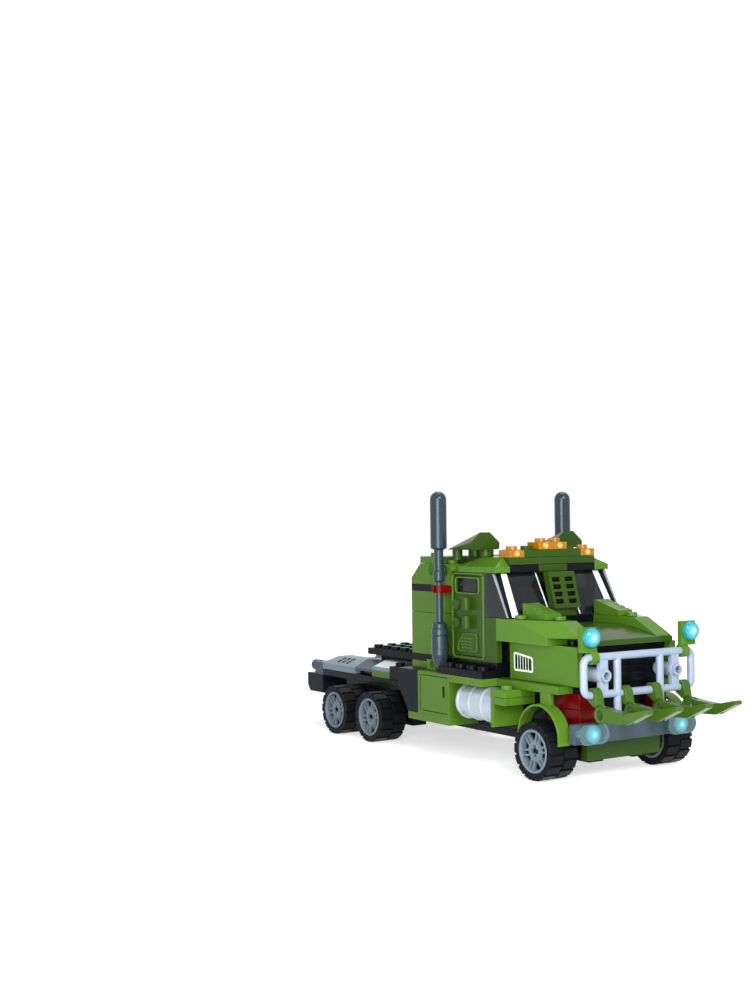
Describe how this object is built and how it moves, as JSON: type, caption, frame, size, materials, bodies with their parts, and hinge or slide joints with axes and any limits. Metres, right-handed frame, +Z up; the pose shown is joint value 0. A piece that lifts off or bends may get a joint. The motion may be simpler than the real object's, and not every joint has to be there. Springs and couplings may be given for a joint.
{
  "type": "transforming brick truck",
  "caption": "Stud-and-plate building-brick tractor truck, military green, with turning wheels, opening doors, tilting lamps and jointed claw fingers hung on its front bull bar.",
  "frame": {"origin": "on the ground, under the middle of the truck's bounding box", "axes": "+X forward, +Y to the left-hand side, +Z up"},
  "size_m": [0.2602, 0.08, 0.1188],
  "materials": {
    "green_brick": "moulded, glossy",
    "dark_green_brick": "moulded, glossy",
    "black_brick": "moulded, glossy",
    "slate_brick": "moulded, satin",
    "grey_brick": "moulded, glossy",
    "grey_rim": "moulded, satin",
    "tyre": "soft moulded rubber",
    "pale_plastic": "moulded, glossy",
    "stack_plastic": "moulded, glossy",
    "red_brick": "moulded, glossy",
    "orange_lens": "transparent moulded",
    "ice_lens": "transparent moulded",
    "clear_pane": "transparent moulded, smoky"
  },
  "bodies": {
    "truck": {"axle_bricks": "black_brick", "frame_plate": "black_brick", "frame_bricks": "black_brick", "nose_block": "dark_green_brick", "mud_guards": "slate_brick", "deck_plates": "black_brick", "deck_slopes": "grey_brick", "coupling_plate": "slate_brick", "toolboxes": "green_brick", "side_steps": "black_brick", "sill_plates": "green_brick", "barrels": "pale_plastic", "barrel_brackets": "green_brick", "cab_floor": "black_brick", "sleeper_walls": "green_brick", "sleeper_roof": "green_brick", "red_bricks": "red_brick", "door_frames": "green_brick", "seat": "slate_brick", "windscreens": "clear_pane", "vent_panel": "green_brick", "visor": "green_brick", "trim_bricks": "black_brick", "roof_corners": "green_brick", "roof_lamps": "orange_lens", "roof_fairings": "dark_green_brick", "hood_core": "black_brick", "hood_sides": "green_brick", "hood_wedges": "green_brick", "hood_top": "green_brick", "cowl_slopes": "green_brick", "fenders": "green_brick", "bull_bar": "pale_plastic", "bumper": "grey_brick", "bumper_lamps": "ice_lens", "exhaust_stacks": "stack_plastic"},
    "front_axle": {"front_wheels": "grey_rim", "front_tyres": "tyre"},
    "mid_axle": {"mid_wheels": "grey_rim", "mid_tyres": "tyre"},
    "rear_axle": {"rear_wheels": "grey_rim", "rear_tyres": "tyre"},
    "door_right": {"cab_door_r": "green_brick"},
    "door_left": {"cab_door_l": "green_brick"},
    "box_door_right": {"toolbox_door_r": "green_brick"},
    "box_door_left": {"toolbox_door_l": "green_brick"},
    "top_lamp_right": {"lamp_r": "ice_lens"},
    "top_lamp_left": {"lamp_l": "ice_lens"},
    "claw_base_1": {"finger_base_1": "green_brick"},
    "claw_link_1": {"finger_link_1": "green_brick"},
    "claw_tip_1": {"finger_tip_1": "green_brick"},
    "claw_base_2": {"finger_base_2": "green_brick"},
    "claw_link_2": {"finger_link_2": "green_brick"},
    "claw_tip_2": {"finger_tip_2": "green_brick"},
    "claw_base_3": {"finger_base_3": "green_brick"},
    "claw_link_3": {"finger_link_3": "green_brick"},
    "claw_tip_3": {"finger_tip_3": "green_brick"},
    "claw_base_4": {"finger_base_4": "green_brick"},
    "claw_link_4": {"finger_link_4": "green_brick"},
    "claw_tip_4": {"finger_tip_4": "green_brick"}
  },
  "joints": [
    {"name": "front_axle_spin", "type": "hinge", "parent": "truck", "child": "front_axle", "pos_m": [0.0779, 0, 0.012], "axis": [0, 1, 0], "continuous": true},
    {"name": "mid_axle_spin", "type": "hinge", "parent": "truck", "child": "mid_axle", "pos_m": [-0.0461, 0, 0.012], "axis": [0, 1, 0], "continuous": true},
    {"name": "rear_axle_spin", "type": "hinge", "parent": "truck", "child": "rear_axle", "pos_m": [-0.0781, 0, 0.012], "axis": [0, 1, 0], "continuous": true},
    {"name": "door_right_swing", "type": "hinge", "parent": "truck", "child": "door_right", "pos_m": [0.0351, -0.031, 0.0638], "axis": [0, 0, 1], "range_deg": [0, 85]},
    {"name": "door_left_swing", "type": "hinge", "parent": "truck", "child": "door_left", "pos_m": [0.0351, 0.031, 0.0638], "axis": [0, 0, -1], "range_deg": [0, 85]},
    {"name": "box_door_right_swing", "type": "hinge", "parent": "truck", "child": "box_door_right", "pos_m": [0.0007, -0.039, 0.0286], "axis": [0, 0, -1], "range_deg": [0, 90]},
    {"name": "box_door_left_swing", "type": "hinge", "parent": "truck", "child": "box_door_left", "pos_m": [0.0007, 0.039, 0.0286], "axis": [0, 0, 1], "range_deg": [0, 90]},
    {"name": "top_lamp_right_tilt", "type": "hinge", "parent": "truck", "child": "top_lamp_right", "pos_m": [0.0989, -0.0247, 0.0506], "axis": [0, -1, 0], "range_deg": [-60, 10]},
    {"name": "top_lamp_left_tilt", "type": "hinge", "parent": "truck", "child": "top_lamp_left", "pos_m": [0.0989, 0.0247, 0.0506], "axis": [0, -1, 0], "range_deg": [-60, 10]},
    {"name": "claw_1_swing", "type": "hinge", "parent": "truck", "child": "claw_base_1", "pos_m": [0.0989, -0.024, 0.0357], "axis": [0, -1, 0], "range_deg": [-10, 30]},
    {"name": "claw_1_knuckle", "type": "hinge", "parent": "claw_base_1", "child": "claw_link_1", "pos_m": [0.1041, -0.024, 0.0284], "axis": [0, -1, 0], "range_deg": [-20, 45]},
    {"name": "claw_1_tip", "type": "hinge", "parent": "claw_link_1", "child": "claw_tip_1", "pos_m": [0.1193, -0.024, 0.0284], "axis": [0, -1, 0], "range_deg": [-30, 20]},
    {"name": "claw_2_swing", "type": "hinge", "parent": "truck", "child": "claw_base_2", "pos_m": [0.0989, -0.008, 0.0357], "axis": [0, -1, 0], "range_deg": [-10, 30]},
    {"name": "claw_2_knuckle", "type": "hinge", "parent": "claw_base_2", "child": "claw_link_2", "pos_m": [0.1041, -0.008, 0.0284], "axis": [0, -1, 0], "range_deg": [-20, 45]},
    {"name": "claw_2_tip", "type": "hinge", "parent": "claw_link_2", "child": "claw_tip_2", "pos_m": [0.1193, -0.008, 0.0284], "axis": [0, -1, 0], "range_deg": [-30, 20]},
    {"name": "claw_3_swing", "type": "hinge", "parent": "truck", "child": "claw_base_3", "pos_m": [0.0989, 0.008, 0.0357], "axis": [0, -1, 0], "range_deg": [-10, 30]},
    {"name": "claw_3_knuckle", "type": "hinge", "parent": "claw_base_3", "child": "claw_link_3", "pos_m": [0.1041, 0.008, 0.0284], "axis": [0, -1, 0], "range_deg": [-20, 45]},
    {"name": "claw_3_tip", "type": "hinge", "parent": "claw_link_3", "child": "claw_tip_3", "pos_m": [0.1193, 0.008, 0.0284], "axis": [0, -1, 0], "range_deg": [-30, 20]},
    {"name": "claw_4_swing", "type": "hinge", "parent": "truck", "child": "claw_base_4", "pos_m": [0.0989, 0.024, 0.0357], "axis": [0, -1, 0], "range_deg": [-10, 30]},
    {"name": "claw_4_knuckle", "type": "hinge", "parent": "claw_base_4", "child": "claw_link_4", "pos_m": [0.1041, 0.024, 0.0284], "axis": [0, -1, 0], "range_deg": [-20, 45]},
    {"name": "claw_4_tip", "type": "hinge", "parent": "claw_link_4", "child": "claw_tip_4", "pos_m": [0.1193, 0.024, 0.0284], "axis": [0, -1, 0], "range_deg": [-30, 20]}
  ]
}
